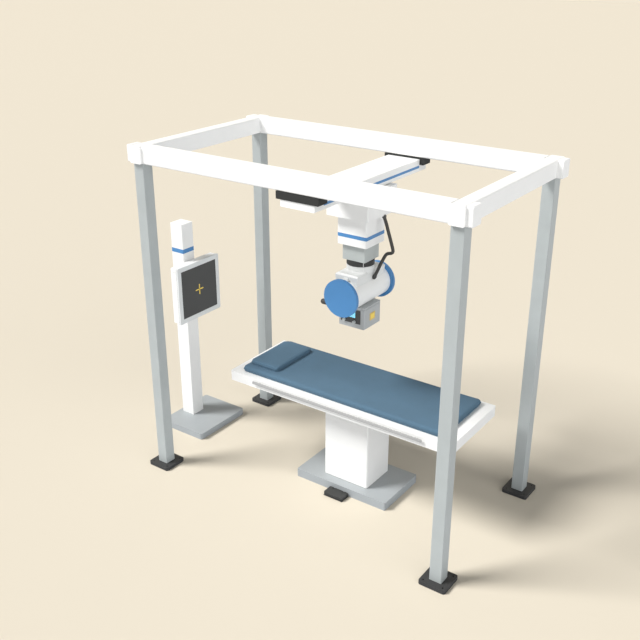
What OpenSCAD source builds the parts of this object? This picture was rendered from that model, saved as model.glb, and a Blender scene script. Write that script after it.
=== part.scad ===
// Ceiling-mounted x-ray system: overhead frame, bridge, telescopic tube column,
// tube head with collimator, floating table and wall stand. Millimetres, +Z up.

/* [Frame] */
// centre of the frame along the room
frame_x = -155; // [-400:1:400]
// centre of the frame across the room
frame_y = -52; // [-300:1:300]
// half distance between post centres along the room
post_half_x = 1375; // [1000:1:2000]
// half distance between post centres across the room
post_half_y = 715; // [500:1:1200]
// width of a square post
post_width = 100; // [60:1:160]
// wall of the post tube
post_wall = 4; // [2:0.5:10]
// side of a foot plate
foot_side = 220; // [160:1:320]
// thickness of a foot plate
foot_height = 30; // [10:1:50]
// corner radius of a foot plate
foot_corner = 20; // [2:1:50]
// radius of an anchor hole
anchor_radius = 7; // [4:0.5:12]
// anchor hole distance from the post axis, each way
anchor_place = 80; // [60:1:120]
// height of the beam undersides
beam_bottom = 2730; // [2000:1:3200]
// height of a beam section
beam_height = 135; // [80:1:200]
// width of the long beams
long_width = 120; // [80:1:200]
// width of the cross beams
cross_width = 112; // [80:1:200]
// long beam past the post centre
long_over = 100; // [60:1:250]
// cross beam past the post centre
cross_over = 77; // [60:1:250]
// wall of the beams
beam_wall = 5; // [3:0.5:10]
// floor thickness of the long beams, the wheel track
track_floor = 8; // [4:0.5:14]
// corner radius of the beams
beam_corner = 12; // [2:1:25]
// slot in the long beam floor
track_slot = 44; // [30:1:60]
// near end of the track slot
track_left = -1400; // [-1600:1:0]
// far end of the track slot
track_right = 1100; // [0:1:1600]
// gap round a half-lap joint
lap_gap = 0.3; // [0.1:0.1:1]
// radius of a frame bolt
bolt_radius = 6; // [3:0.5:10]
// radius of a frame bolt head
bolt_head = 10; // [5:0.5:16]
// height of a frame bolt head
bolt_head_height = 8; // [4:0.5:12]
// frame bolt distance from the post axis, each way
bolt_place = 30; // [20:1:40]
// hole clearance round a bolt
bolt_gap = 0.5; // [0.2:0.1:2]

/* [Bridge] */
// half width of the bridge beam
bridge_half = 146; // [100:1:200]
// underside of the bridge beam
bridge_bottom = 2618; // [2000:1:3000]
// height of the bridge beam
bridge_height = 97; // [60:1:150]
// how far the bridge beam runs past the tracks
bridge_over = 48; // [20:1:120]
// wall of the bridge beam
bridge_wall = 5; // [3:0.5:10]
// slot in the bridge floor
bridge_slot = 80; // [50:1:120]
// distance of the slot ends from the tracks
bridge_slot_end = 75; // [70:1:300]
// length of an end truck
truck_length = 360; // [200:1:500]
// width of an end truck
truck_width = 110; // [60:1:140]
// underside of an end truck
truck_bottom = 2671; // [2000:1:3000]
// gap between an end truck and the beam above
truck_gap = 3; // [1:0.5:10]
// width of a hanger neck along the track
hanger_length = 44; // [20:1:80]
// width of a hanger neck across the slot
hanger_width = 34; // [20:1:40]
// wheel radius
wheel_radius = 29.7; // [15:0.1:45]
// wheel tread width
wheel_width = 24; // [10:1:40]
// axle radius
axle_radius = 8; // [4:0.5:14]
// radial gap of an axle in its bore
axle_gap = 0.05; // [0.02:0.01:0.1]
// running gap under a wheel
running_gap = 0.3; // [0.3:0.1:1]
// wheel distance from the truck centre
truck_wheel_place = 130; // [60:1:170]
// wheel distance from the carriage centre
carriage_wheel_place = 140; // [60:1:170]

/* [Carriage and column] */
// half size of the carriage along the room
carriage_half_x = 189; // [150:1:250]
// half size of the carriage across the room
carriage_half_y = 205; // [150:1:250]
// underside of the carriage cover
carriage_bottom = 2403; // [2000:1:2600]
// underside of the carriage plate
carriage_plate_bottom = 2604; // [2300:1:2700]
// thickness of the carriage plate
carriage_plate_height = 8; // [4:1:12]
// wall of sheet covers
cover_wall = 4; // [2:0.5:8]
// corner radius of covers
cover_corner = 12; // [2:1:40]
// half side of the outer column
outer_half = 132.5; // [90:0.5:180]
// underside of the outer column
outer_bottom = 2168; // [1500:1:2400]
// half side of the middle stage
stage_half = 102.5; // [70:0.5:150]
// underside of the middle stage
stage_bottom = 2040; // [1400:1:2300]
// top of the middle stage
stage_top = 2590; // [2300:1:2600]
// half side of the inner column
inner_half = 80; // [50:0.5:120]
// top of the inner column
inner_top = 2580; // [2300:1:2590]
// wall of the column sections
column_wall = 5; // [3:0.5:8]
// gap at the guide pads
pad_gap = 0.5; // [0.3:0.1:1]
// height of a guide pad
pad_height = 60; // [20:1:100]
// radius of the swivel ring
ring_radius = 110; // [80:1:140]
// underside of the swivel ring
ring_bottom = 1998; // [1400:1:2200]
// top of the swivel ring
ring_top = 2038; // [1400:1:2300]
// radius of the swivel spindle
spindle_radius = 45; // [20:1:70]
// radius of the spindle head
spindle_head = 60; // [30:1:74]

/* [Tube head] */
// height of the tube axis
tube_z = 1783; // [1200:1:2000]
// radius of the tube housing
tube_radius = 125; // [90:1:160]
// half length of the tube housing
tube_half = 250; // [180:1:320]
// wall of the tube housing
tube_wall = 6; // [3:0.5:10]
// radius of the end discs
disc_radius = 152; // [120:1:190]
// outer face of the end discs from the beam plane
disc_reach = 280; // [200:1:350]
// thickness of an end disc
disc_thickness = 16; // [8:1:30]
// thickness of a bearing ring of the yoke
yoke_ring = 10; // [5:1:20]
// radius of the housing journals
journal_radius = 112; // [80:1:120]
// radial gap of the journals
journal_gap = 0.05; // [0.02:0.01:0.1]
// side gap between yoke and head
side_gap = 2; // [0.5:0.5:5]
// half width of the saddle at its top
saddle_top_half = 104; // [60:1:140]
// half width of the saddle at the tube
saddle_low_half = 90; // [60:1:120]
// half length of the saddle
saddle_reach = 198; // [120:1:240]
// top of the saddle block
saddle_top = 1955; // [1900:1:1990]
// bevel of the saddle edges
saddle_bevel = 12; // [2:1:30]
// radius of the saddle neck
neck_radius = 110; // [80:1:130]
// half width of the straps to the bearing rings
strap_half = 22; // [10:1:40]
// height of the straps over the tube axis
strap_height = 145; // [130:1:150]
// radius of a hand grip
grip_radius = 22; // [12:1:30]
// tip of a hand grip from the beam plane
grip_reach = 217; // [160:1:260]
// drop of the hand grips under the tube axis
grip_drop = 83; // [40:1:110]
// hand grip distance from the beam plane
grip_place = 226; // [200:1:240]
// half side of the collimator
colli_half = 119; // [80:1:150]
// height of the collimator
colli_height = 162; // [120:1:240]
// gap between the collimator and the port flange
colli_gap = 3; // [1:0.5:6]
// port flange underside below the tube housing
flange_drop = 3; // [1:1:12]
// height of the port flange
flange_height = 16; // [14:1:24]
// seat of the collimator collar over the flange underside
collar_rise = 13; // [8:1:13]
// radius of the collimator collar
collar_radius = 60; // [40:1:80]
// lip of the collimator collar
collar_lip = 8; // [3:1:12]
// wall of the collimator
colli_wall = 6; // [3:0.5:10]
// corner radius of the collimator
colli_corner = 6; // [1:1:20]
// half side of the beam window
window_half = 45; // [20:1:70]
// left edge of the control panel
panel_left = -100; // [-115:1:0]
// right edge of the control panel
panel_right = 85; // [0:1:115]
// lower edge of the control panel over the collimator underside
panel_low_up = 38; // [5:1:60]
// upper edge of the control panel over the collimator underside
panel_high_up = 156; // [120:1:158]
// left edge of the screen
screen_left = -70; // [-100:1:0]
// right edge of the screen
screen_right = 36; // [0:1:80]
// lower edge of the screen over the collimator underside
screen_low_up = 85; // [70:1:120]
// upper edge of the screen over the collimator underside
screen_high_up = 145; // [100:1:150]
// how far panel and screen stand proud
proud = 1; // [0.5:0.5:3]
// depth of the panel recess
recess = 3; // [1:0.5:5]
// height of the knobs over the collimator underside
knob_up = 52; // [40:1:70]
// place of the near knob
knob_left_x = -65; // [-90:1:0]
// place of the far knob
knob_right_x = 30; // [0:1:80]
// radius of a knob
knob_radius = 12; // [6:1:20]
// length of a knob
knob_length = 16; // [8:1:25]
// radius of a knob shaft
knob_shaft = 3; // [1.5:0.5:5]
// half width of the light key
key_half_y = 36; // [15:1:50]
// half height of the light key
key_half_z = 30; // [15:1:50]
// height of the light key centre over the collimator underside
key_up = 85; // [60:1:110]
// travel of the light key
key_travel = 2; // [1:0.5:4]
// height of the lower shutter ledge over the collimator underside
ledge_up = 70; // [50:1:90]
// ledge height and blade thickness
blade_height = 4; // [2:0.5:8]
// rest opening of each blade from the centre
blade_open = 34; // [10:1:60]
// width of a blade along its travel
blade_width = 46; // [30:1:60]

/* [Table] */
// half length of the table top
table_half_x = 1068; // [800:1:1300]
// half width of the table top
table_half_y = 376; // [250:1:500]
// underside of the table top
table_bottom = 810; // [500:1:900]
// top face of the table top
table_top_z = 899; // [600:1:1000]
// wall of the table top
table_wall = 6; // [3:0.5:10]
// corner radius of the table top
table_corner = 12; // [8:1:80]
// height of the ribs of the cross frame
rib_height = 30; // [20:1:40]
// half length of the table base
base_half_x = 449; // [300:1:600]
// half width of the table base
base_half_y = 260.5; // [200:0.5:400]
// height of the table base
base_height = 73; // [40:1:120]
// thickness of the floor plate
floor_plate = 12; // [6:1:25]
// anchor hole half spacing, long way
table_anchor_x = 390; // [200:1:500]
// anchor hole half spacing, short way
table_anchor_y = 200; // [100:1:250]
// half length of the lifting cover
lift_half_x = 215; // [120:1:300]
// half width of the lifting cover
lift_half_y = 173; // [100:1:250]
// top of the lifting cover
lift_top = 798; // [600:1:850]
// half length of the pedal
pedal_half_x = 93; // [50:1:140]
// front edge of the pedal
pedal_front = -365; // [-420:1:-300]
// rear edge of the pedal
pedal_rear = -264; // [-290:1:-262]
// top of the pedal
pedal_top = 34; // [20:1:50]
// height of the pedal pin
pedal_pin_z = 22; // [10:1:30]
// radius of the pedal pin
pedal_pin = 4; // [2:0.5:6]
// near end of the accessory rail
rail_left = -809; // [-1000:1:0]
// far end of the accessory rail
rail_right = 826; // [0:1:1000]
// lower edge of the accessory rail
rail_low = 854; // [820:1:880]
// height of the accessory rail
rail_height = 22; // [10:1:30]
// thickness of the accessory rail
rail_thickness = 10; // [5:1:15]
// stand-off of the accessory rail
rail_gap = 14; // [8:1:30]
// near end of the mattress
mattress_left = -970; // [-1100:1:0]
// far end of the mattress
mattress_right = 965; // [0:1:1100]
// half width of the mattress
mattress_half = 325; // [200:1:400]
// mattress thickness
mattress_height = 48; // [20:1:100]
// near end of the pillow
pillow_left = -940; // [-1000:1:0]
// far end of the pillow
pillow_right = -655; // [-900:1:0]
// front edge of the pillow
pillow_front = -255; // [-320:1:0]
// rear edge of the pillow
pillow_rear = 240; // [0:1:320]
// pillow thickness
pillow_height = 40; // [20:1:100]
// corner radius of mattress and pillow
pad_corner = 24; // [10:1:80]

/* [Wall stand] */
// column axis of the wall stand
stand_x = -1921; // [-2200:1:-1800]
// side of the stand column
stand_width = 140; // [100:1:200]
// top of the stand column
stand_top = 1981; // [1500:1:2300]
// near edge of the stand base
stand_base_left = -2030; // [-2300:1:-1900]
// far edge of the stand base
stand_base_right = -1534; // [-1700:1:-1400]
// half width of the stand base
stand_base_half = 305; // [200:1:400]
// height of the stand base
stand_base_height = 60; // [30:1:100]
// front face of the detector unit
bucky_front = -1740; // [-1800:1:-1600]
// half side of the detector unit
bucky_half = 268; // [200:1:350]
// centre height of the detector unit
bucky_z = 1376; // [1000:1:1700]
// half side of the detector window
bucky_window = 226; // [150:1:250]
// thickness of the front frame
bezel_thickness = 17; // [8:1:30]
// dark gap behind the front frame
bezel_gap = 3; // [1:0.5:6]
// depth of the rear housing
bucky_depth = 71; // [40:1:120]
// rear housing set back from the frame edge
bucky_inset = 6; // [0:1:20]
// half height of the collar on the column
collar_half = 125; // [60:1:200]

/* [Cable] */
// radius of the cable
cable_radius = 13; // [6:1:20]
// cable plane across the room
cable_y = 30; // [0:1:80]

/* [Hidden] */
$fn = 48;
eps = beam_wall / 500;
beam_top = beam_bottom + beam_height;
beam_mid = beam_bottom + beam_height / 2;
track_top = beam_bottom + track_floor;
truck_wheel_z = track_top + running_gap + wheel_radius;
truck_top = beam_bottom - truck_gap;
bridge_top = bridge_bottom + bridge_height;
bridge_floor = bridge_bottom + track_floor;
carriage_wheel_z = bridge_floor + running_gap + wheel_radius;
carriage_plate_top = carriage_plate_bottom + carriage_plate_height;
journal_end = tube_half + side_gap * 2 + yoke_ring + side_gap;
cavity_top = table_top_z - table_wall;
stand_half = stand_width / 2;
bucky_rear = bucky_front - bezel_thickness - bezel_gap - bucky_depth;
house_half = bucky_half - bucky_inset;
panel_y = -colli_half;
bridge_reach = post_half_y + bridge_over;
bridge_slot_near = frame_y - post_half_y + bridge_slot_end;
bridge_slot_far = frame_y + post_half_y - bridge_slot_end;
flange_bottom = tube_z - tube_radius - flange_drop;
flange_top = flange_bottom + flange_height;
collar_seat = flange_bottom + collar_rise;
colli_top = flange_bottom - colli_gap;
colli_bottom = colli_top - colli_height;
panel_low = colli_bottom + panel_low_up;
panel_high = colli_bottom + panel_high_up;
screen_low = colli_bottom + screen_low_up;
screen_high = colli_bottom + screen_high_up;
knob_z = colli_bottom + knob_up;
key_z = colli_bottom + key_up;
ledge_z = colli_bottom + ledge_up;

white = [0.95, 0.95, 0.93];
grey = [0.66, 0.67, 0.67];
frame_grey = [0.74, 0.77, 0.76];
blue = [0.34, 0.56, 0.77];
dark = [0.2, 0.2, 0.2];
steel = [0.6, 0.62, 0.64];
cloth = [0.37, 0.48, 0.56];
cyan = [0.54, 0.89, 1];
yellow = [0.83, 0.71, 0.37];
glass = [0.8, 0.88, 0.9];

module box(x0, x1, y0, y1, z0, z1) translate([x0, y0, z0]) cube([x1 - x0, y1 - y0, z1 - z0]);

module tube_box(outer, inner, z0, z1, r) difference() {
  translate([0, 0, z0]) slab(outer * 2, outer * 2, z1 - z0, r);
  box(-inner, inner, -inner, inner, z0 - eps, z1 + eps);
}

module round_square(w, d, r) union() {
  translate([-w / 2 + r, -d / 2]) square([w - 2 * r, d]);
  translate([-w / 2, -d / 2 + r]) square([w, d - 2 * r]);
  for (sx = [-1, 1], sy = [-1, 1]) translate([sx * (w / 2 - r), sy * (d / 2 - r)]) circle(r);
}

module slab(w, d, h, r) linear_extrude(h) round_square(w, d, r);

module slab_between(x0, x1, y0, y1, z0, z1, r)
  translate([(x0 + x1) / 2, (y0 + y1) / 2, z0]) slab(x1 - x0, y1 - y0, z1 - z0, r);

module x_bar(x0, x1, yc, zc, w, h, r)
  translate([x0, yc, zc]) rotate([90, 0, 90]) linear_extrude(x1 - x0) round_square(w, h, r);

module y_bar(y0, y1, xc, zc, w, h, r)
  translate([xc, y1, zc]) rotate([90, 0, 0]) linear_extrude(y1 - y0) round_square(w, h, r);

module y_rod(y0, y1, xc, zc, r) translate([xc, y1, zc]) rotate([90, 0, 0]) cylinder(h = y1 - y0, r = r);

module x_rod(x0, x1, yc, zc, r) translate([x0, yc, zc]) rotate([0, 90, 0]) cylinder(h = x1 - x0, r = r);

module z_rod(z0, z1, xc, yc, r) translate([xc, yc, z0]) cylinder(h = z1 - z0, r = r);

module at_posts() for (sx = [-1, 1], sy = [-1, 1])
  translate([frame_x + sx * post_half_x, frame_y + sy * post_half_y, 0]) children();

module four(px, py) for (sx = [-1, 1], sy = [-1, 1]) translate([sx * px, sy * py, 0]) children();

// frame

module posts() color(frame_grey) at_posts() difference() {
  slab_between(-post_width / 2, post_width / 2, -post_width / 2, post_width / 2,
    foot_height, beam_bottom, post_wall * 1.5);
  box(-post_width / 2 + post_wall, post_width / 2 - post_wall, -post_width / 2 + post_wall,
    post_width / 2 - post_wall, foot_height - eps, beam_bottom - track_floor);
  four(bolt_place, bolt_place) z_rod(beam_bottom - track_floor * 2, beam_bottom + eps, 0, 0,
    bolt_radius + bolt_gap);
}

module foot_plates() color(dark) at_posts() difference() {
  slab(foot_side, foot_side, foot_height, foot_corner);
  four(anchor_place, anchor_place) z_rod(-eps, foot_height + eps, 0, 0, anchor_radius);
}

module long_beam(sy) color(white) difference() {
  yc = frame_y + sy * post_half_y;
  x0 = frame_x - post_half_x - long_over;
  x1 = frame_x + post_half_x + long_over;
  x_bar(x0, x1, yc, beam_mid, long_width, beam_height, beam_corner);
  box(x0 + beam_wall, x1 - beam_wall, yc - long_width / 2 + beam_wall, yc + long_width / 2 - beam_wall,
    track_top, beam_top - beam_wall);
  box(track_left, track_right, yc - track_slot / 2, yc + track_slot / 2, beam_bottom - eps, track_top + eps);
  for (sx = [-1, 1]) translate([frame_x + sx * post_half_x, yc, 0]) {
    box(-cross_width / 2 - lap_gap, cross_width / 2 + lap_gap, -long_width, long_width,
      beam_mid, beam_top + beam_wall);
    four(bolt_place, bolt_place) z_rod(beam_bottom - eps, track_top + eps, 0, 0, bolt_radius + bolt_gap);
  }
}

module cross_beam(sx) color(white) difference() {
  xc = frame_x + sx * post_half_x;
  y0 = frame_y - post_half_y - cross_over;
  y1 = frame_y + post_half_y + cross_over;
  y_bar(y0, y1, xc, beam_mid, cross_width, beam_height, beam_corner);
  box(xc - cross_width / 2 + beam_wall, xc + cross_width / 2 - beam_wall, y0 + beam_wall, y1 - beam_wall,
    beam_bottom + beam_wall, beam_top - beam_wall);
  for (sy = [-1, 1]) translate([xc, frame_y + sy * post_half_y, 0])
    box(-cross_width, cross_width, -long_width / 2 - lap_gap, long_width / 2 + lap_gap,
      beam_bottom - beam_wall, beam_mid);
}

module beam_front() long_beam(-1);
module beam_rear() long_beam(1);
module beam_left() cross_beam(-1);
module beam_right() cross_beam(1);

module corner_bolts() color(steel) at_posts() four(bolt_place, bolt_place) {
  z_rod(track_top, track_top + bolt_head_height, 0, 0, bolt_head);
  z_rod(beam_bottom - track_floor - bolt_head_height, track_top + eps, 0, 0, bolt_radius);
  z_rod(beam_bottom - track_floor - bolt_head_height, beam_bottom - track_floor, 0, 0, bolt_head);
}

// bridge

module bridge_beam() color(white) difference() {
  y0 = frame_y - bridge_reach;
  y1 = frame_y + bridge_reach;
  cut = post_half_y - truck_width / 2 - side_gap;
  y_bar(y0, y1, 0, bridge_bottom + bridge_height / 2, bridge_half * 2, bridge_height, beam_corner / 2);
  box(-bridge_half + bridge_wall, bridge_half - bridge_wall, y0 + bridge_wall, y1 - bridge_wall,
    bridge_floor, bridge_top - bridge_wall);
  for (sy = [-1, 1]) translate([0, frame_y, 0]) mirror([0, sy < 0 ? 1 : 0, 0])
    box(-bridge_half * 2, bridge_half * 2, cut, bridge_reach * 2, truck_bottom, bridge_top + bridge_wall);
  box(-bridge_slot / 2, bridge_slot / 2, bridge_slot_near, bridge_slot_far,
    bridge_bottom - eps, bridge_floor + eps);
}

module end_trucks() color(dark) for (sy = [-1, 1]) translate([0, frame_y + sy * post_half_y, 0]) difference() {
  union() {
    box(-truck_length / 2, truck_length / 2, -truck_width / 2, truck_width / 2, truck_bottom, truck_top);
    for (sx = [-1, 1]) translate([sx * truck_wheel_place, 0, 0])
      box(-hanger_length / 2, hanger_length / 2, -hanger_width / 2, hanger_width / 2,
        truck_top - beam_wall, truck_wheel_z + hanger_length / 2);
  }
  for (sx = [-1, 1]) y_rod(-hanger_width, hanger_width, sx * truck_wheel_place, truck_wheel_z,
    axle_radius + axle_gap);
}

module truck_wheels(sx, sy) color(steel) translate([sx * truck_wheel_place, frame_y + sy * post_half_y, 0]) {
  inner = hanger_width / 2 + running_gap;
  reach = inner + axle_radius;
  y_rod(-reach - wheel_width, reach + wheel_width, 0, truck_wheel_z, axle_radius);
  for (s = [-1, 1]) mirror([0, s < 0 ? 1 : 0, 0]) {
    y_rod(inner, reach + eps, 0, truck_wheel_z, axle_radius * 1.5);
    y_rod(reach, reach + wheel_width, 0, truck_wheel_z, wheel_radius);
  }
}

module truck_wheels_fl() truck_wheels(-1, -1);
module truck_wheels_fr() truck_wheels(1, -1);
module truck_wheels_rl() truck_wheels(-1, 1);
module truck_wheels_rr() truck_wheels(1, 1);

// carriage

module carriage_plate() color(white) difference() {
  neck = hanger_width;
  reach = carriage_wheel_place + hanger_length / 2;
  union() {
    translate([0, 0, carriage_plate_bottom])
      slab(carriage_half_x * 2, carriage_half_y * 2, carriage_plate_height, cover_corner);
    box(-neck, neck, -reach, reach, carriage_plate_top - eps, carriage_wheel_z + hanger_width);
  }
  for (sy = [-1, 1]) x_rod(-neck * 2, neck * 2, sy * carriage_wheel_place, carriage_wheel_z,
    axle_radius + axle_gap);
}

module carriage_wheels(sy) color(steel) translate([0, sy * carriage_wheel_place, 0]) {
  inner = hanger_width + running_gap;
  reach = bridge_slot / 2 + track_floor;
  x_rod(-reach - wheel_width, reach + wheel_width, 0, carriage_wheel_z, axle_radius);
  for (s = [-1, 1]) mirror([s < 0 ? 1 : 0, 0, 0]) {
    x_rod(inner, reach + eps, 0, carriage_wheel_z, axle_radius * 1.5);
    x_rod(reach, reach + wheel_width, 0, carriage_wheel_z, wheel_radius);
  }
}

module carriage_wheels_front() carriage_wheels(-1);
module carriage_wheels_rear() carriage_wheels(1);

module carriage_cover() color(white) difference() {
  hole = outer_half + 2 * pad_gap;
  translate([0, 0, carriage_bottom])
    slab(carriage_half_x * 2, carriage_half_y * 2, carriage_plate_bottom - carriage_bottom, cover_corner);
  slab_between(-carriage_half_x + cover_wall, carriage_half_x - cover_wall, -carriage_half_y + cover_wall,
    carriage_half_y - cover_wall, carriage_bottom + cover_wall, carriage_plate_bottom + eps, cover_corner / 2);
  box(-hole, hole, -hole, hole, carriage_bottom - eps, carriage_bottom + cover_wall * 2);
}

module outer_column() color(white) {
  tube_box(outer_half, outer_half - column_wall, outer_bottom, carriage_plate_bottom, cover_corner);
  tube_box(outer_half - column_wall / 2, stage_half + pad_gap, outer_bottom + pad_height / 4,
    outer_bottom + pad_height, column_wall);
}

module column_stage() color(grey) {
  tube_box(stage_half, stage_half - column_wall, stage_bottom, stage_top, column_wall);
  tube_box(outer_half - column_wall - pad_gap, stage_half - column_wall / 2,
    stage_top - pad_height * 1.2, stage_top - pad_height * 0.2, column_wall);
  tube_box(stage_half - column_wall / 2, inner_half + pad_gap, stage_bottom + pad_height / 4,
    stage_bottom + pad_height, column_wall / 2);
}

module column_inner() color(steel) {
  tube_box(inner_half, inner_half - column_wall, ring_top, inner_top, column_wall);
  tube_box(stage_half - column_wall - pad_gap, inner_half - column_wall / 2,
    inner_top - pad_height * 1.2, inner_top - pad_height * 0.2, column_wall / 2);
}

module swivel_ring() color(dark) difference() {
  z_rod(ring_bottom, ring_top, 0, 0, ring_radius);
  z_rod(ring_bottom - eps, ring_top + eps, 0, 0, spindle_radius + journal_gap);
}

// yoke and tube head

module yoke_saddle() color(white) difference() {
  union() {
    intersection() {
      y_wedge(saddle_reach, [[-saddle_low_half, tube_z + tube_radius / 2],
        [saddle_low_half, tube_z + tube_radius / 2], [saddle_top_half, saddle_top - saddle_bevel],
        [saddle_top_half - saddle_bevel, saddle_top], [-saddle_top_half + saddle_bevel, saddle_top],
        [-saddle_top_half, saddle_top - saddle_bevel]]);
      x_wedge(saddle_top_half * 2, [[-saddle_reach, tube_z], [saddle_reach, tube_z],
        [saddle_reach, saddle_top - saddle_bevel], [saddle_reach - saddle_bevel, saddle_top],
        [-saddle_reach + saddle_bevel, saddle_top], [-saddle_reach, saddle_top - saddle_bevel]]);
    }
    z_rod(saddle_top - saddle_bevel, ring_bottom - truck_gap, 0, 0, neck_radius);
    z_rod(saddle_top, ring_top + running_gap + eps, 0, 0, spindle_radius);
    z_rod(ring_top + running_gap, ring_top + running_gap + saddle_bevel, 0, 0, spindle_head);
    box(-strap_half, strap_half, -tube_half - side_gap, tube_half + side_gap,
      tube_z + tube_radius * 0.9, tube_z + strap_height);
  }
  y_rod(-tube_half * 2, tube_half * 2, 0, tube_z, tube_radius + side_gap);
}

module y_wedge(half, points) translate([0, half, 0]) rotate([90, 0, 0]) linear_extrude(half * 2) polygon(points);
module x_wedge(half, points) translate([-half, 0, 0]) rotate([90, 0, 90]) linear_extrude(half * 2) polygon(points);

module yoke_rings() color(blue) for (sy = [-1, 1]) mirror([0, sy < 0 ? 1 : 0, 0]) difference() {
  y_rod(tube_half + side_gap, tube_half + side_gap + yoke_ring, 0, tube_z, disc_radius);
  y_rod(tube_half, disc_reach, 0, tube_z, journal_radius + journal_gap);
}

module tube_housing() color(white) difference() {
  union() {
    y_rod(-tube_half, tube_half, 0, tube_z, tube_radius);
    y_rod(-disc_reach + disc_thickness, disc_reach - disc_thickness, 0, tube_z, journal_radius);
    translate([0, 0, flange_bottom]) slab(colli_half * 2, colli_half * 2, flange_top - flange_bottom, colli_corner);
  }
  y_rod(-tube_half + tube_wall, tube_half - tube_wall, 0, tube_z, tube_radius - tube_wall);
  y_rod(-disc_reach, disc_reach, 0, tube_z, journal_radius - tube_wall * 2);
  z_rod(flange_bottom - eps, tube_z - tube_radius / 2, 0, 0, collar_radius + journal_gap);
  z_rod(collar_seat, tube_z - tube_radius / 2, 0, 0, collar_radius + collar_lip * 1.2);
}

module end_discs() color(blue) for (sy = [-1, 1]) mirror([0, sy < 0 ? 1 : 0, 0]) {
  y_rod(disc_reach - disc_thickness, disc_reach, 0, tube_z, disc_radius);
  y_rod(disc_reach - disc_thickness - tube_wall, disc_reach - disc_thickness + eps, 0, tube_z,
    journal_radius - tube_wall * 2 - running_gap);
}

module hand_grips() color(dark) difference() {
  for (sy = [-1, 1]) {
    x_rod(-grip_reach + grip_radius, -tube_radius / 2, sy * grip_place, tube_z - grip_drop, grip_radius);
    translate([-grip_reach + grip_radius, sy * grip_place, tube_z - grip_drop]) sphere(grip_radius);
  }
  y_rod(-tube_half - side_gap, tube_half + side_gap, 0, tube_z, tube_radius);
}

module glass_envelope() color(glass) translate([0, 0, tube_z]) rotate([-90, 0, 0]) rotate_extrude() {
  bulb = tube_radius * 0.5;
  neck = tube_radius * 0.26;
  skin = tube_wall / 2;
  reach = tube_half * 0.62;
  polygon([[neck, -reach], [neck, -reach * 0.7], [bulb, -reach * 0.5], [bulb, reach * 0.4],
    [neck, reach * 0.6], [neck, reach], [neck - skin, reach], [neck - skin, reach * 0.6],
    [bulb - skin, reach * 0.4], [bulb - skin, -reach * 0.5], [neck - skin, -reach * 0.7],
    [neck - skin, -reach]]);
}

module tube_mounts() color(steel) {
  reach = tube_half * 0.62;
  plate = tube_radius - tube_wall - running_gap;
  y_rod(-reach - tube_wall * 2, -reach, 0, tube_z, plate);
  y_rod(-reach - eps, -reach * 0.35, 0, tube_z, tube_radius * 0.14);
  y_rod(reach, reach + tube_wall * 2, 0, tube_z, plate);
  y_rod(tube_wall, reach + eps, 0, tube_z, axle_radius);
}

module anode() color(steel) difference() {
  union() {
    y_rod(0, tube_wall * 2, 0, tube_z, tube_radius * 0.36);
    y_rod(tube_wall * 2 - eps, tube_half * 0.5, 0, tube_z, tube_radius * 0.2);
  }
  y_rod(tube_wall / 2, tube_half, 0, tube_z, axle_radius + axle_gap);
}

// collimator

module collimator_housing() color(grey) difference() {
  inner = colli_half - colli_wall;
  union() {
    difference() {
      translate([0, 0, colli_bottom]) slab(colli_half * 2, colli_half * 2, colli_top - colli_bottom, colli_corner);
      box(-inner, inner, -inner, inner, colli_bottom + colli_wall, colli_top - colli_wall);
    }
    z_rod(colli_top - colli_wall, collar_seat + running_gap + eps, 0, 0, collar_radius);
    z_rod(collar_seat + running_gap, collar_seat + running_gap + colli_wall, 0, 0, collar_radius + collar_lip);
    for (s = [-1, 1]) {
      mirror([0, s < 0 ? 1 : 0, 0]) box(-inner - eps, inner + eps, inner - blade_width / 3, inner + eps,
        ledge_z, ledge_z + blade_height);
      mirror([s < 0 ? 1 : 0, 0, 0]) box(inner - blade_width / 3, inner + eps, -inner - eps, inner + eps,
        ledge_z + blade_height * 4, ledge_z + blade_height * 5);
    }
    box(inner - colli_wall * 2, inner + eps, -colli_wall * 2, colli_wall * 2, key_z - colli_wall * 2,
      ledge_z + blade_height * 4 + eps);
  }
  z_rod(colli_top - colli_wall * 2, tube_z, 0, 0, collar_radius - colli_wall);
  box(-window_half, window_half, -window_half, window_half, colli_bottom - eps, colli_bottom + colli_wall + eps);
  box(panel_left, panel_right, panel_y - eps, panel_y + recess, panel_low, panel_high);
  for (x = [knob_left_x, knob_right_x])
    y_rod(panel_y - eps, panel_y + colli_wall + eps, x, knob_z, knob_shaft + axle_gap);
  box(colli_half - recess - proud, colli_half + eps, -key_half_y - lap_gap, key_half_y + lap_gap,
    key_z - key_half_z - lap_gap, key_z + key_half_z + lap_gap);
  x_rod(0, colli_half, 0, key_z, knob_shaft + axle_gap);
  x_rod(0, colli_half - colli_wall * 3, 0, key_z, knob_shaft * 2 + lap_gap);
}

module control_panel() color(dark) difference() {
  box(panel_left, panel_right, panel_y - proud, panel_y + recess, panel_low, panel_high);
  box(screen_left, screen_right, panel_y - proud * 2, panel_y + proud, screen_low, screen_high);
  for (x = [knob_left_x, knob_right_x])
    y_rod(panel_y - recess, panel_y + recess + eps, x, knob_z, knob_shaft + axle_gap);
}

module panel_screen() color(cyan)
  box(screen_left, screen_right, panel_y - proud * 1.2, panel_y + proud, screen_low, screen_high);

module knob(x) color(white) {
  y_rod(panel_y - proud - running_gap - knob_length, panel_y - proud - running_gap, x, knob_z, knob_radius);
  y_rod(panel_y - proud * 2, panel_y + colli_wall * 1.5, x, knob_z, knob_shaft);
  translate([x, panel_y - proud - running_gap - knob_length + eps, knob_z + knob_radius * 0.6]) rotate([90, 0, 0])
    cylinder(h = proud, r = knob_shaft / 2);
}

module knob_left() knob(knob_left_x);
module knob_right() knob(knob_right_x);

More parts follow.
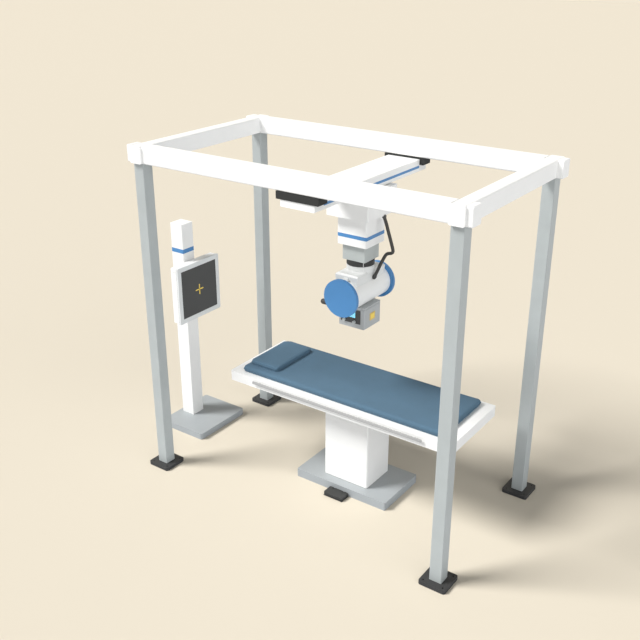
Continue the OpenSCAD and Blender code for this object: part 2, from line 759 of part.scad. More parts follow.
module light_key() color(yellow) {
  box(colli_half - recess - proud + key_travel + lap_gap, colli_half + proud * 3, -key_half_y, key_half_y,
    key_z - key_half_z, key_z + key_half_z);
  x_rod(colli_half - colli_wall * 4, colli_half, 0, key_z, knob_shaft);
  x_rod(colli_half - colli_wall * 4, colli_half - colli_wall * 3 - lap_gap, 0, key_z, knob_shaft * 2);
}

module blade(angle, z) color(steel) rotate([0, 0, angle]) {
  reach = colli_half - colli_wall - side_gap / 2;
  box(blade_open, blade_open + blade_width, -reach, reach, z + running_gap, z + running_gap + blade_height);
}

module shutter_right() blade(0, ledge_z + blade_height);
module shutter_left() blade(180, ledge_z + blade_height);
module shutter_rear() blade(90, ledge_z + blade_height * 5);
module shutter_front() blade(270, ledge_z + blade_height * 5);

module lamp_mirror() color(glass) {
  deck = colli_top - colli_wall;
  half = collar_radius;
  difference() {
    box(-half * 1.2, half * 1.2, -half, half, deck - blade_height, deck);
    z_rod(deck - blade_height * 2, deck + eps, 0, 0, half * 0.7);
  }
  for (s = [-1, 1]) mirror([0, s < 0 ? 1 : 0, 0])
    box(-half * 0.5, half * 0.5, half * 0.9, half, deck - half * 0.8, deck - blade_height + eps);
  translate([0, 0, deck - half * 0.45]) rotate([0, 45, 0])
    box(-half * 0.45, half * 0.45, -half * 0.9 - eps, half * 0.9 + eps, -proud, proud);
  x_rod(-half * 1.6, -half * 1.1, 0, deck - half * 0.45, half * 0.2);
  box(-half * 1.5, -half * 1.15, -half * 0.3, half * 0.3, deck - half * 0.45, deck);
}

// table

module floor_plate_table() color(steel) {
  half_x = base_half_x - floor_plate * 2;
  half_y = base_half_y - floor_plate * 2;
  difference() {
    box(-half_x, half_x, -half_y, half_y, 0, floor_plate);
    four(table_anchor_x, table_anchor_y) z_rod(-eps, floor_plate + eps, 0, 0, anchor_radius);
  }
  box(-pedal_half_x, pedal_half_x, pedal_front, -half_y + eps, 0, floor_plate / 3);
  for (sx = [-1, 1]) difference() {
    box(sx * pedal_half_x / 2 - tube_wall, sx * pedal_half_x / 2 + tube_wall, pedal_rear - floor_plate,
      pedal_rear + running_gap * 8, floor_plate / 3 - eps, pedal_pin_z + pedal_pin * 2);
    x_rod(-pedal_half_x, pedal_half_x, pedal_rear - pedal_pin, pedal_pin_z, pedal_pin + axle_gap);
  }
}

module table_base_cover() color(grey) difference() {
  translate([0, 0, 0]) slab(base_half_x * 2, base_half_y * 2, base_height, table_corner);
  translate([0, 0, -eps]) slab(base_half_x * 2 - cover_wall * 2, base_half_y * 2 - cover_wall * 2,
    base_height - cover_wall, table_corner - cover_wall);
  box(-pedal_half_x - side_gap, pedal_half_x + side_gap, -base_half_y - eps, -base_half_y + cover_wall * 2,
    -eps, floor_plate / 3 + running_gap);
  box(-lift_half_x + floor_plate, lift_half_x - floor_plate, -lift_half_y + floor_plate,
    lift_half_y - floor_plate, base_height / 2, base_height + eps);
}

module pedestal_inner() color(steel) {
  half_x = lift_half_x - floor_plate * 1.5;
  half_y = lift_half_y - floor_plate * 1.5;
  difference() {
    box(-half_x, half_x, -half_y, half_y, floor_plate, lift_top * 0.8);
    box(-half_x + cover_wall, half_x - cover_wall, -half_y + cover_wall, half_y - cover_wall,
      floor_plate - eps, lift_top);
  }
  difference() {
    box(-lift_half_x + cover_wall + pad_gap, lift_half_x - cover_wall - pad_gap,
      -lift_half_y + cover_wall + pad_gap, lift_half_y - cover_wall - pad_gap, lift_top * 0.65, lift_top * 0.78);
    box(-half_x + eps, half_x - eps, -half_y + eps, half_y - eps, 0, lift_top);
  }
  z_rod(floor_plate, lift_top * 0.25, 0, 0, lift_half_x * 0.3);
  z_rod(lift_top * 0.25 - eps, lift_top * 0.75, 0, 0, lift_half_x * 0.1);
}

module pedestal_outer() color(white) {
  difference() {
    union() {
      translate([0, 0, base_height + truck_gap])
        slab(lift_half_x * 2, lift_half_y * 2, lift_top - base_height - truck_gap, cover_corner);
      for (sx = [-1, 1]) box(sx * lift_half_x * 0.7 - rail_thickness, sx * lift_half_x * 0.7 + rail_thickness,
        -lift_half_y + cover_corner, lift_half_y - cover_corner, lift_top - eps, table_bottom + side_gap);
    }
    box(-lift_half_x + cover_wall, lift_half_x - cover_wall, -lift_half_y + cover_wall,
      lift_half_y - cover_wall, base_height, lift_top - cover_wall * 2);
  }
  difference() {
    z_rod(lift_top * 0.3, lift_top - cover_wall, 0, 0, lift_half_x * 0.2);
    z_rod(0, lift_top * 0.8, 0, 0, lift_half_x * 0.1 + pad_gap);
  }
}

module cross_frame() color(steel) {
  deck = table_bottom + side_gap + running_gap;
  x_rib = lift_half_x * 0.7;
  y_rib = lift_half_y * 0.5;
  box(-lift_half_x, lift_half_x, -lift_half_y * 0.7, lift_half_y * 0.7, deck, deck + table_wall);
  for (sx = [-1, 1], sy = [-1, 1]) {
    difference() {
      box(sx * x_rib - rail_gap * 1.6, sx * x_rib + rail_gap * 1.6, sy * y_rib - rail_gap, sy * y_rib + rail_gap,
        deck - rail_thickness, deck + eps);
      box(sx * x_rib - rail_thickness - running_gap, sx * x_rib + rail_thickness + running_gap,
        -lift_half_y, lift_half_y, deck - rail_gap, deck);
    }
    difference() {
      box(sx * x_rib - rail_gap * 2, sx * x_rib + rail_gap * 2, sy * y_rib - rail_gap * 1.6,
        sy * y_rib + rail_gap * 1.6, deck + table_wall - eps, deck + rib_height);
      box(-lift_half_x, lift_half_x, sy * y_rib - rail_thickness - running_gap,
        sy * y_rib + rail_thickness + running_gap, deck + table_wall, deck + rib_height * 2);
    }
  }
}

module tabletop() color(white) {
  deck = table_bottom + side_gap + running_gap;
  difference() {
    translate([0, 0, table_bottom]) slab(table_half_x * 2, table_half_y * 2, table_top_z - table_bottom, table_corner);
    translate([0, 0, table_bottom - eps]) slab(table_half_x * 2 - table_wall * 2, table_half_y * 2 - table_wall * 2,
      cavity_top - table_bottom, table_corner - table_wall);
  }
  for (sy = [-1, 1]) box(-table_half_x + table_wall * 2, table_half_x - table_wall * 2,
    sy * lift_half_y * 0.5 - rail_thickness, sy * lift_half_y * 0.5 + rail_thickness,
    deck + table_wall + running_gap, cavity_top + eps);
}

module accessory_rail() color(steel) {
  y0 = -table_half_y - rail_gap;
  box(rail_left, rail_right, y0 - rail_thickness, y0, rail_low, rail_low + rail_height);
  for (share = [0.04, 0.35, 0.65, 0.96])
    y_rod(y0 - eps, -table_half_y, rail_left + (rail_right - rail_left) * share, rail_low + rail_height / 2,
      rail_thickness * 0.6);
}

module mattress() color(cloth) slab_between(mattress_left, mattress_right, -mattress_half, mattress_half,
  table_top_z, table_top_z + mattress_height, pad_corner);

module pillow() color(cloth) slab_between(pillow_left, pillow_right, pillow_front, pillow_rear,
  table_top_z + mattress_height, table_top_z + mattress_height + pillow_height, pad_corner);

module foot_pedal() color(dark) {
  pin_y = pedal_rear - pedal_pin;
  difference() {
    slab_between(-pedal_half_x, pedal_half_x, pedal_front, pedal_rear, floor_plate, pedal_top, cover_corner);
    for (sx = [-1, 1]) box(sx * pedal_half_x / 2 - rail_thickness, sx * pedal_half_x / 2 + rail_thickness,
      pedal_rear - rail_gap * 1.4, pedal_rear + floor_plate, 0, pedal_top + eps);
  }
  x_rod(-pedal_half_x * 0.8, pedal_half_x * 0.8, pin_y, pedal_pin_z, pedal_pin);
}

// wall stand

module floor_plate_stand() color(steel) difference() {
  x0 = stand_base_left + floor_plate * 2;
  x1 = stand_base_right - floor_plate * 2;
  y1 = stand_base_half - floor_plate * 2;
  box(x0, x1, -y1, y1, 0, floor_plate);
  for (x = [x0 + floor_plate * 2, x1 - floor_plate * 2], s = [-1, 1])
    z_rod(-eps, floor_plate + eps, x, s * (y1 - floor_plate * 2), anchor_radius);
}

module stand_base_cover() color(grey) difference() {
  slab_between(stand_base_left, stand_base_right, -stand_base_half, stand_base_half, 0, stand_base_height,
    foot_corner);
  slab_between(stand_base_left + cover_wall, stand_base_right - cover_wall, -stand_base_half + cover_wall,
    stand_base_half - cover_wall, -eps, stand_base_height - cover_wall, foot_corner - cover_wall);
  box(stand_x - stand_half - lap_gap, stand_x + stand_half + lap_gap, -stand_half - lap_gap,
    stand_half + lap_gap, 0, stand_base_height + eps);
}

module stand_column() color(white) difference() {
  slab_between(stand_x - stand_half, stand_x + stand_half, -stand_half, stand_half, floor_plate, stand_top,
    cover_wall);
  box(stand_x - stand_half + column_wall, stand_x + stand_half - column_wall, -stand_half + column_wall,
    stand_half - column_wall, floor_plate - eps, stand_top - column_wall);
}

module counterweight() color(steel) translate([stand_x, 0, bucky_z / 3])
  slab((stand_half - column_wall - running_gap) * 2, (stand_half - column_wall - running_gap) * 2,
    bucky_window * 1.5, cover_wall);

module bucky_housing() color(white) {
  difference() {
    slab_between(bucky_rear, bucky_rear + bucky_depth, -house_half, house_half, bucky_z - house_half,
      bucky_z + house_half, cover_wall);
    box(bucky_rear + cover_wall * 2, bucky_rear + bucky_depth - cover_wall * 2, -house_half - eps,
      house_half - cover_wall * 2, bucky_z - bucky_window - side_gap, bucky_z + bucky_window + side_gap);
  }
  box(bucky_rear + bucky_depth - eps, bucky_rear + bucky_depth + bezel_gap, -bucky_window, bucky_window,
    bucky_z - bucky_window, bucky_z + bucky_window);
  difference() {
    box(stand_x - stand_half - rail_gap, bucky_rear + eps, -stand_half - rail_gap, stand_half + rail_gap,
      bucky_z - collar_half, bucky_z + collar_half);
    box(stand_x - stand_half - running_gap, stand_x + stand_half + running_gap, -stand_half - running_gap,
      stand_half + running_gap,
      bucky_z - collar_half * 2, bucky_z + collar_half * 2);
  }
}

module bucky_bezel() color(grey) difference() {
  translate([bucky_front - bezel_thickness, 0, bucky_z]) rotate([90, 0, 90])
    linear_extrude(bezel_thickness) round_square(bucky_half * 2, bucky_half * 2, cover_wall * 2);
  box(bucky_front - bezel_thickness - eps, bucky_front + eps, -bucky_window, bucky_window,
    bucky_z - bucky_window, bucky_z + bucky_window);
}

module bucky_panel() color(dark) box(bucky_front - bezel_thickness, bucky_front - side_gap, -bucky_window,
  bucky_window, bucky_z - bucky_window, bucky_z + bucky_window);

module detector_tray() color(white) {
  x0 = bucky_rear + cover_wall * 2 + running_gap;
  x1 = bucky_rear + bucky_depth - cover_wall * 2 - running_gap;
  z0 = bucky_z - bucky_window - side_gap + running_gap;
  box(x0, x1, -house_half, -house_half + cover_wall * 2, z0, bucky_z + bucky_window);
  box(x0, x1, -house_half + cover_wall, house_half - cover_wall * 3, z0, z0 + cover_wall * 3);
  box(x0 + rail_gap, x1 - rail_gap, -house_half + cover_wall, house_half - cover_wall * 3, z0,
    bucky_z + bucky_window - side_gap);
}

// cable: a tube swept along chosen points in the plane y = cable_y

module hose(points) {
  n = len(points);
  m = 10;
  function tangent(i) = let (a = points[max(i - 1, 0)], b = points[min(i + 1, n - 1)])
    (b - a) / norm(b - a);
  ring = [for (i = [0:n - 1], j = [0:m - 1]) let (t = tangent(i), a = 360 * j / m, p = points[i])
    [p[0] + cable_radius * cos(a) * -t[1], cable_y + cable_radius * sin(a), p[1] + cable_radius * cos(a) * t[0]]];
  faces = concat([[for (j = [m - 1:-1:0]) j]], [[for (j = [0:m - 1]) (n - 1) * m + j]],
    [for (i = [0:n - 2], j = [0:m - 1]) [i * m + j, i * m + (j + 1) % m, (i + 1) * m + (j + 1) % m, (i + 1) * m + j]]);
  polyhedron(ring, faces, convexity = 6);
}

upper_run = [[181, 2402.7], [181, 2396], [187, 2386], [204, 2345], [222, 2292], [240, 2240], [256, 2192], [267, 2160],
  [273, 2141], [273, 2130], [268, 2121], [258, 2115], [246, 2113]];
lower_run = [[245.7, 2112.95], [234, 2111], [222, 2107.5], [212, 2099], [202, 2083], [182, 2044], [160, 2000],
  [139, 1952], [122, 1916], [109.5, 1890]];

module cable_upper() color(dark) hose(upper_run);
module cable_lower() color(dark) hose(lower_run);

posts();
foot_plates();
beam_front();
beam_rear();
beam_left();
beam_right();
corner_bolts();
bridge_beam();
end_trucks();
truck_wheels_fl();
truck_wheels_fr();
truck_wheels_rl();
truck_wheels_rr();
carriage_plate();
carriage_wheels_front();
carriage_wheels_rear();
carriage_cover();
outer_column();
column_stage();
column_inner();
swivel_ring();
yoke_saddle();
yoke_rings();
tube_housing();
end_discs();
hand_grips();
glass_envelope();
tube_mounts();
anode();
collimator_housing();
control_panel();
panel_screen();
knob_left();
knob_right();
light_key();
shutter_right();
shutter_left();
shutter_rear();
shutter_front();
lamp_mirror();
floor_plate_table();
table_base_cover();
pedestal_inner();
pedestal_outer();
cross_frame();
tabletop();
accessory_rail();
mattress();
pillow();
foot_pedal();
floor_plate_stand();
stand_base_cover();
stand_column();
counterweight();
bucky_housing();
bucky_bezel();
bucky_panel();
detector_tray();
cable_upper();
cable_lower();
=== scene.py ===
import math

import bmesh
import bpy
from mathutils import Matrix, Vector


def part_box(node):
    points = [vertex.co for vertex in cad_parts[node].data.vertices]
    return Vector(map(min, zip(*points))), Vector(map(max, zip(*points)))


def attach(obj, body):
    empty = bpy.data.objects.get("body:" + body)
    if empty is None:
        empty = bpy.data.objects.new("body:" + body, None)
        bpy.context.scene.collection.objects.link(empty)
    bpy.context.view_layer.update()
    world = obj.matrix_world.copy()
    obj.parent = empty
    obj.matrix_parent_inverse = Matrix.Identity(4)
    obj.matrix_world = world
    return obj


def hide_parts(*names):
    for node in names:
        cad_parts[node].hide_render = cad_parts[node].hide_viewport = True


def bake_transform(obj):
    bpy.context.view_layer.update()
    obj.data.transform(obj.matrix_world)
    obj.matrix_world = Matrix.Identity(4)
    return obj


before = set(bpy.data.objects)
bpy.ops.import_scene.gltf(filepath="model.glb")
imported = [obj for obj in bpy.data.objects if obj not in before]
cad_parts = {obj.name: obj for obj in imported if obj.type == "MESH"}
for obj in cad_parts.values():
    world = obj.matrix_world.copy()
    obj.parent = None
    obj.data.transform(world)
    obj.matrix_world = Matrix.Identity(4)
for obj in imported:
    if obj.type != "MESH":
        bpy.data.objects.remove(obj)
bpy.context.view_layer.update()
scene = bpy.context.scene

# Camera of the photo

lens = bpy.data.cameras.new("camera")
lens.lens = 49.8
lens.sensor_width = 36.0
lens.clip_end = 80.0
camera = bpy.data.objects.new("camera", lens)
camera.location = (3.531, -5.491, 4.346)
camera.rotation_euler = (math.pi / 2 - 0.4106, 0.0, 0.6201)
scene.collection.objects.link(camera)
scene.camera = camera
scene.view_settings.view_transform = "Standard"


def srgb(code, share=1.0):
    """Linear colour of a hex code, times share."""
    out = []
    for i in (0, 2, 4):
        v = int(code[i : i + 2], 16) / 255
        v = v / 12.92 if v <= 0.04045 else ((v + 0.055) / 1.055) ** 2.4
        out.append(min(v * share, 1.0))
    return (*out, 1.0)


def material(
    name, color, rough=0.45, metal=0.0, bump=0.02, grain=400.0, mottle=0.03, emit=0.0, coat=0.0, spec=0.5
):
    """A painted, cast or woven surface: fine grain in the relief, faint mottling in colour and gloss."""
    m = bpy.data.materials.new(name)
    m.use_nodes = True
    nodes, links = m.node_tree.nodes, m.node_tree.links
    bsdf = nodes["Principled BSDF"]
    bsdf.inputs["Metallic"].default_value = metal
    bsdf.inputs["Coat Weight"].default_value = coat
    bsdf.inputs["Specular IOR Level"].default_value = spec
    place = nodes.new("ShaderNodeTexCoord")
    broad = nodes.new("ShaderNodeTexNoise")
    broad.inputs["Scale"].default_value = 7.0
    broad.inputs["Detail"].default_value = 4.0
    links.new(place.outputs["Object"], broad.inputs["Vector"])
    tone = nodes.new("ShaderNodeValToRGB")
    tone.color_ramp.elements[0].position = 0.3
    tone.color_ramp.elements[1].position = 0.7
    tone.color_ramp.elements[0].color = (*[c * (1 - mottle) for c in color[:3]], 1)
    tone.color_ramp.elements[1].color = (*[min(c * (1 + mottle), 1.0) for c in color[:3]], 1)
    links.new(broad.outputs["Fac"], tone.inputs["Fac"])
    links.new(tone.outputs["Color"], bsdf.inputs["Base Color"])
    gloss = nodes.new("ShaderNodeMapRange")
    gloss.inputs["To Min"].default_value = rough - 0.05
    gloss.inputs["To Max"].default_value = rough + 0.05
    links.new(broad.outputs["Fac"], gloss.inputs["Value"])
    links.new(gloss.outputs["Result"], bsdf.inputs["Roughness"])
    fine = nodes.new("ShaderNodeTexNoise")
    fine.inputs["Scale"].default_value = grain
    fine.inputs["Detail"].default_value = 3.0
    links.new(place.outputs["Object"], fine.inputs["Vector"])
    relief = nodes.new("ShaderNodeBump")
    relief.inputs["Strength"].default_value = bump
    relief.inputs["Distance"].default_value = 0.001
    links.new(fine.outputs["Fac"], relief.inputs["Height"])
    links.new(relief.outputs["Normal"], bsdf.inputs["Normal"])
    if emit:
        bsdf.inputs["Emission Color"].default_value = color
        bsdf.inputs["Emission Strength"].default_value = emit
    return m


def cloth_material(name, color):
    """Woven cover: fine crossed ribs over a soft mottle."""
    m = material(name, color, rough=0.85, bump=0.05, grain=260.0, mottle=0.04)
    nodes, links = m.node_tree.nodes, m.node_tree.links
    bsdf = nodes["Principled BSDF"]
    bsdf.inputs["Sheen Weight"].default_value = 0.05
    place = nodes["Texture Coordinate"]
    last = None
    for turn in (0.0, math.pi / 2):
        turned = nodes.new("ShaderNodeMapping")
        turned.inputs["Rotation"].default_value = (0, 0, turn)
        ribs = nodes.new("ShaderNodeTexWave")
        ribs.inputs["Scale"].default_value = 160.0
        ribs.inputs["Distortion"].default_value = 0.6
        links.new(place.outputs["Object"], turned.inputs["Vector"])
        links.new(turned.outputs["Vector"], ribs.inputs["Vector"])
        relief = nodes.new("ShaderNodeBump")
        relief.inputs["Strength"].default_value = 0.12
        relief.inputs["Distance"].default_value = 0.0006
        links.new(ribs.outputs["Fac"], relief.inputs["Height"])
        if last:
            links.new(last.outputs["Normal"], relief.inputs["Normal"])
        last = relief
    links.new(last.outputs["Normal"], bsdf.inputs["Normal"])
    return m


white = material("white paint", (0.87, 0.872, 0.86, 1), rough=0.4, coat=0.1, mottle=0.01)
shell = material("housing paint", (0.86, 0.87, 0.86, 1), rough=0.38, coat=0.1, mottle=0.01)
# The saddle wears the drum's white paint. This darker copy of that white is painted shade, which dims the
# saddle's lit top.
saddle_shaded_white = material("saddle paint", (0.76, 0.77, 0.76, 1), rough=0.45, mottle=0.01)
frame_paint = material("frame paint", (0.405, 0.437, 0.436, 1), rough=0.42, coat=0.1)
grey = material("grey paint", (0.47, 0.505, 0.495, 1), rough=0.48)
base_grey = material("base cover paint", (0.35, 0.375, 0.388, 1), rough=0.48)
warm_grey = material("collimator paint", (0.44, 0.46, 0.465, 1), rough=0.5)
bezel = material("bezel paint", (0.74, 0.76, 0.76, 1), rough=0.45)
blue = material("blue paint", (0.062, 0.233, 0.505, 1), rough=0.42, coat=0.1)
black = material("black paint", (0.042, 0.043, 0.042, 1), rough=0.55, bump=0.05, spec=0.3)
truck_black = material("truck paint", (0.033, 0.034, 0.033, 1), rough=0.6, bump=0.05, spec=0.2)
foot = material("foot plate paint", (0.04, 0.041, 0.042, 1), rough=0.6, bump=0.06, spec=0.3)
rubber = material("black rubber", (0.045, 0.043, 0.04, 1), rough=0.6, bump=0.08, grain=700.0)
plastic = material("black plastic", (0.05, 0.052, 0.052, 1), rough=0.4)
steel = material("bare steel", (0.5, 0.5, 0.51, 1), rough=0.35, metal=1.0, bump=0.03, grain=900.0)
alloy = material("drawn alloy", (0.6, 0.61, 0.62, 1), rough=0.32, metal=1.0, bump=0.03, grain=900.0)
rail = material("rail alloy", (0.42, 0.42, 0.42, 1), rough=0.4, metal=0.2)
glass = material("clear glass", (0.75, 0.85, 0.88, 1), rough=0.08)
screen = material("screen", srgb("89e3ff", 0.9), rough=0.25, emit=0.55)
ivory = material("knob plastic", (0.5, 0.53, 0.52, 1), rough=0.3)
yellow = material("yellow plastic", (0.78, 0.55, 0.13, 1), rough=0.4)
gold = material("yellow line", (0.95, 0.7, 0.12, 1), rough=0.5)
cloth = cloth_material("blue cover", (0.07, 0.14, 0.208, 1))
piping = material("piping", (0.06, 0.12, 0.18, 1), rough=0.7)

LOOKS = {
    white: "beam_front beam_rear beam_left beam_right bridge_beam carriage_plate carriage_cover outer_column"
    " pedestal_outer tabletop stand_column bucky_housing detector_tray",
    shell: "tube_housing",
    saddle_shaded_white: "yoke_saddle",
    frame_paint: "posts",
    grey: "column_stage",
    base_grey: "table_base_cover stand_base_cover",
    warm_grey: "collimator_housing",
    bezel: "bucky_bezel",
    blue: "yoke_rings end_discs",
    truck_black: "end_trucks",
    black: "swivel_ring foot_pedal floor_plate_table",
    foot: "foot_plates",
    rubber: "hand_grips",
    plastic: "control_panel bucky_panel",
    steel: "corner_bolts truck_wheels_fl truck_wheels_fr truck_wheels_rl truck_wheels_rr carriage_wheels_front"
    " carriage_wheels_rear tube_mounts anode shutter_right shutter_left shutter_rear shutter_front"
    " pedestal_inner floor_plate_stand counterweight",
    alloy: "column_inner cross_frame",
    rail: "accessory_rail",
    glass: "glass_envelope lamp_mirror",
    screen: "panel_screen",
    ivory: "knob_left knob_right",
    yellow: "light_key",
}
for look, names in LOOKS.items():
    for name in names.split():
        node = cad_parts[name]
        node.data.materials.clear()
        node.data.materials.append(look)

# The tube housing's port flange is grey, its drum white

FLANGE_TOP, FLANGE_LOW, NECK_HALF = 1.6715, 1.658, 0.058
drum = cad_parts["tube_housing"]
drum.data.materials.append(warm_grey)
for face in drum.data.polygons:
    at = drum.matrix_world @ face.center
    if at.z < FLANGE_TOP and (abs(at.x) > NECK_HALF or at.z < FLANGE_LOW):
        face.material_index = 1

# Rolled and moulded edges on the CAD pieces

EDGES = {
    "posts": 0.004, "foot_plates": 0.008, "beam_front": 0.006, "beam_rear": 0.006, "beam_left": 0.006,
    "beam_right": 0.006, "bridge_beam": 0.003, "end_trucks": 0.004, "carriage_cover": 0.004,
    "outer_column": 0.003, "column_stage": 0.003, "swivel_ring": 0.003, "yoke_saddle": 0.003,
    "yoke_rings": 0.002, "end_discs": 0.005, "tube_housing": 0.002, "collimator_housing": 0.003,
    "control_panel": 0.0015, "knob_left": 0.002, "knob_right": 0.002, "light_key": 0.003,
    "table_base_cover": 0.008, "pedestal_outer": 0.003, "tabletop": 0.01, "accessory_rail": 0.002,
    "foot_pedal": 0.006, "stand_base_cover": 0.008, "stand_column": 0.004, "bucky_housing": 0.004,
    "bucky_bezel": 0.004, "bucky_panel": 0.001, "detector_tray": 0.002,
}
for name, width in EDGES.items():
    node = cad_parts[name]
    edge = node.modifiers.new("edge", "BEVEL")
    edge.width = width
    edge.segments = 3
    edge.limit_method = "ANGLE"
    edge.angle_limit = math.radians(38)
    edge.use_clamp_overlap = True
    edge.harden_normals = True
for name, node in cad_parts.items():
    if node.type == "MESH":
        for face in node.data.polygons:
            face.use_smooth = True
        if name not in EDGES:
            split = node.modifiers.new("split", "EDGE_SPLIT")
            split.split_angle = math.radians(35)


def smooth_faces(obj):
    for face in obj.data.polygons:
        face.use_smooth = True


def add_mesh(name, verts, faces, look):
    """A new object from plain vertices and faces."""
    data = bpy.data.meshes.new(name)
    data.from_pydata(verts, [], faces)
    data.update()
    data.materials.append(look)
    obj = bpy.data.objects.new(name, data)
    scene.collection.objects.link(obj)
    return obj


def add_box(name, low, high, look, body, edge=0.0):
    """A box between two corners that rides a body, with its edges rounded if edge is given."""
    x0, y0, z0 = low
    x1, y1, z1 = high
    square = ((x0, y0), (x1, y0), (x1, y1), (x0, y1))
    verts = [(x, y, z) for z in (z0, z1) for x, y in square]
    faces = [(0, 3, 2, 1), (4, 5, 6, 7), (0, 1, 5, 4), (1, 2, 6, 5), (2, 3, 7, 6), (3, 0, 4, 7)]
    obj = add_mesh(name, verts, faces, look)
    if edge:
        rounded = obj.modifiers.new("edge", "BEVEL")
        rounded.width = edge
        rounded.segments = 2
    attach(obj, body)
    return obj


CORNER_STEPS, STEP_ANGLE = 7, 15


def rounded_rectangle(x0, x1, y0, y1, corner):
    """Points round a rectangle with rounded corners, seen from above."""
    out = []
    for cx, cy, start in (
        (x1 - corner, y1 - corner, 0),
        (x0 + corner, y1 - corner, 90),
        (x0 + corner, y0 + corner, 180),
        (x1 - corner, y0 + corner, 270),
    ):
        for step in range(CORNER_STEPS):
            a = math.radians(start + STEP_ANGLE * step)
            out.append((cx + corner * math.cos(a), cy + corner * math.sin(a)))
    return out


def ring_band(name, half_x, half_y, z0, z1, center, corner, thick, look, body):
    """A painted band round a square section with rounded corners."""
    verts, faces, outline = [], [], []
    for k, (sx, sy) in enumerate(((1, 1), (-1, 1), (-1, -1), (1, -1))):
        at = (center[0] + sx * (half_x - corner), center[1] + sy * (half_y - corner))
        for step in range(CORNER_STEPS):
            a = math.radians(90 * k + STEP_ANGLE * step)
            outline.append((*at, math.cos(a), math.sin(a)))
    n = len(outline)
    for radius, z in ((corner + thick, z0), (corner + thick, z1), (corner - thick, z1), (corner - thick, z0)):
        verts += [(x + c * radius, y + s * radius, z) for x, y, c, s in outline]
    for r in range(4):
        for i in range(n):
            j = (i + 1) % n
            a, b = r * n, ((r + 1) % 4) * n
            faces.append((a + i, a + j, b + j, b + i))
    obj = add_mesh(name, verts, faces, look)
    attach(obj, body)


# Painted bands, lines and small marks, and a painted highlight line

ring_band("column_band", 0.1325, 0.1325, 2.229, 2.258, (0, 0), 0.012, 0.0006, blue, "carriage")
ring_band("stand_band", 0.07, 0.07, 1.711, 1.75, (-1.921, 0), 0.004, 0.0002, blue, "support_frame")
for side, x in (("left", -0.1463), ("right", 0.1463)):
    add_box("bridge_stripe_" + side, (x - 0.0006, -0.706, 2.647), (x + 0.0006, 0.602, 2.667), blue, "bridge")
# The thin white lines down the swivel ring and the saddle at -46 degrees, under the stage's corner, are a painted
# highlight: the glint along that corner.
turn = math.radians(-46)
for name, z0, z1, body in (
    ("index_line", 1.9985, 2.0375, "inner_column"),
    ("index_line_low", 1.958, 1.994, "yoke"),
):
    line = add_box(name, (0.1094, -0.0017, z0), (0.1107, 0.0017, z1), white, body)
    for v in line.data.vertices:
        x, y = v.co.x, v.co.y
        v.co.x, v.co.y = x * math.cos(turn) - y * math.sin(turn), x * math.sin(turn) + y * math.cos(turn)
panel_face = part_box("bucky_panel")[1][0]
line_back, line_front = panel_face - 0.0002, panel_face + 0.0004
for name, half_y, z0, z1 in (
    ("center_line_upright", 0.0055, 1.327, 1.425),
    ("center_line_level", 0.05, 1.3705, 1.3815),
):
    add_box(name, (line_back, -half_y, z0), (line_front, half_y, z1), gold, "detector_unit")
# The dark strips in the gap between the detector's bezel and its housing are painted shade: the darkness of that
# narrow gap.
for name, y0, y1, z0, z1 in (
    ("seal_front", -0.2665, -0.2605, 1.1095, 1.6425),
    ("seal_rear", 0.2605, 0.2665, 1.1095, 1.6425),
    ("seal_low", -0.2605, 0.2605, 1.1095, 1.1155),
    ("seal_high", -0.2605, 0.2605, 1.6365, 1.6425),
):
    add_box(name, (-1.7598, y0, z0), (-1.7572, y1, z1), rubber, "detector_unit")
add_box("key_face", (0.1215, -0.024, 1.557), (0.1226, 0.024, 1.593), gold, "key", 0.0008)
TILE_WIDTH = 0.01
for i, x in enumerate((-0.052, -0.03, -0.008, 0.014)):
    add_box(f"screen_tile_{i}", (x, -0.1206, 1.585), (x + TILE_WIDTH, -0.1201, 1.592), white, "collimator")
add_box("screen_field", (-0.045, -0.1206, 1.602), (0.012, -0.1201, 1.626), blue, "collimator")

# Cable: one hose in two lengths that meet at the elbow, smoothed from the points of the CAD source

RADIUS = 0.013
PLANE_Y = 0.03
PATH_POINTS, PATH_PASSES = 66, 3
HOSE_SIDES, BOOT_SIDES, PIPING_SIDES = 20, 24, 6
ELBOW = (246, 2113)
UPPER = [(181, 2409), (181, 2402.7), (181, 2396), (187, 2386), (204, 2345), (222, 2292), (240, 2240), (256, 2192),
         (267, 2160), (273, 2141), (273, 2130), (268, 2121), (258, 2115), ELBOW]
LOWER = [(234, 2111), (222, 2107.5), (212, 2099), (202, 2083), (182, 2044), (160, 2000), (139, 1952),
         (122, 1916), (109.5, 1890), (104, 1879)]


def route_point(x, z):
    """A point of the route, from millimetres to metres."""
    return Vector((x / 1000, PLANE_Y, z / 1000))


def smooth_path(points, steps=12):
    """Catmull-Rom points through the route, in metres."""
    pts = [route_point(x, z) for x, z in points]
    out = []
    for i in range(len(pts) - 1):
        a, b, c, d = pts[max(i - 1, 0)], pts[i], pts[i + 1], pts[min(i + 2, len(pts) - 1)]
        for k in range(steps):
            t = k / steps
            curve = (
                (2 * b) + (c - a) * t + (2 * a - 5 * b + 4 * c - d) * t * t
                + (3 * b - a - 3 * c + d) * t**3
            )
            out.append(0.5 * curve)
    out.append(pts[-1])
    return out


def path_length(path):
    return sum((b - a).length for a, b in zip(path, path[1:]))


def along(path, distance):
    """The point at this distance along a path."""
    for a, b in zip(path, path[1:]):
        span = (b - a).length
        if distance <= span:
            return a.lerp(b, distance / span)
        distance -= span
    return path[-1].copy()


def even_path(points, count, passes):
    """Evenly spaced points, averaged with their neighbours so that no bend folds the hose."""
    dense = smooth_path(points)
    total = path_length(dense)
    path = [along(dense, total * i / (count - 1)) for i in range(count)]
    for _ in range(passes):
        path = [path[0]] + [(a + 2 * b + c) / 4 for a, b, c in zip(path, path[1:], path[2:])] + [path[-1]]
    return path


whole = even_path(UPPER + LOWER, PATH_POINTS, PATH_PASSES)
elbow = min(range(len(whole)), key=lambda i: (whole[i] - route_point(*ELBOW)).length)
upper_path, lower_path = whole[:elbow + 1], whole[elbow:]


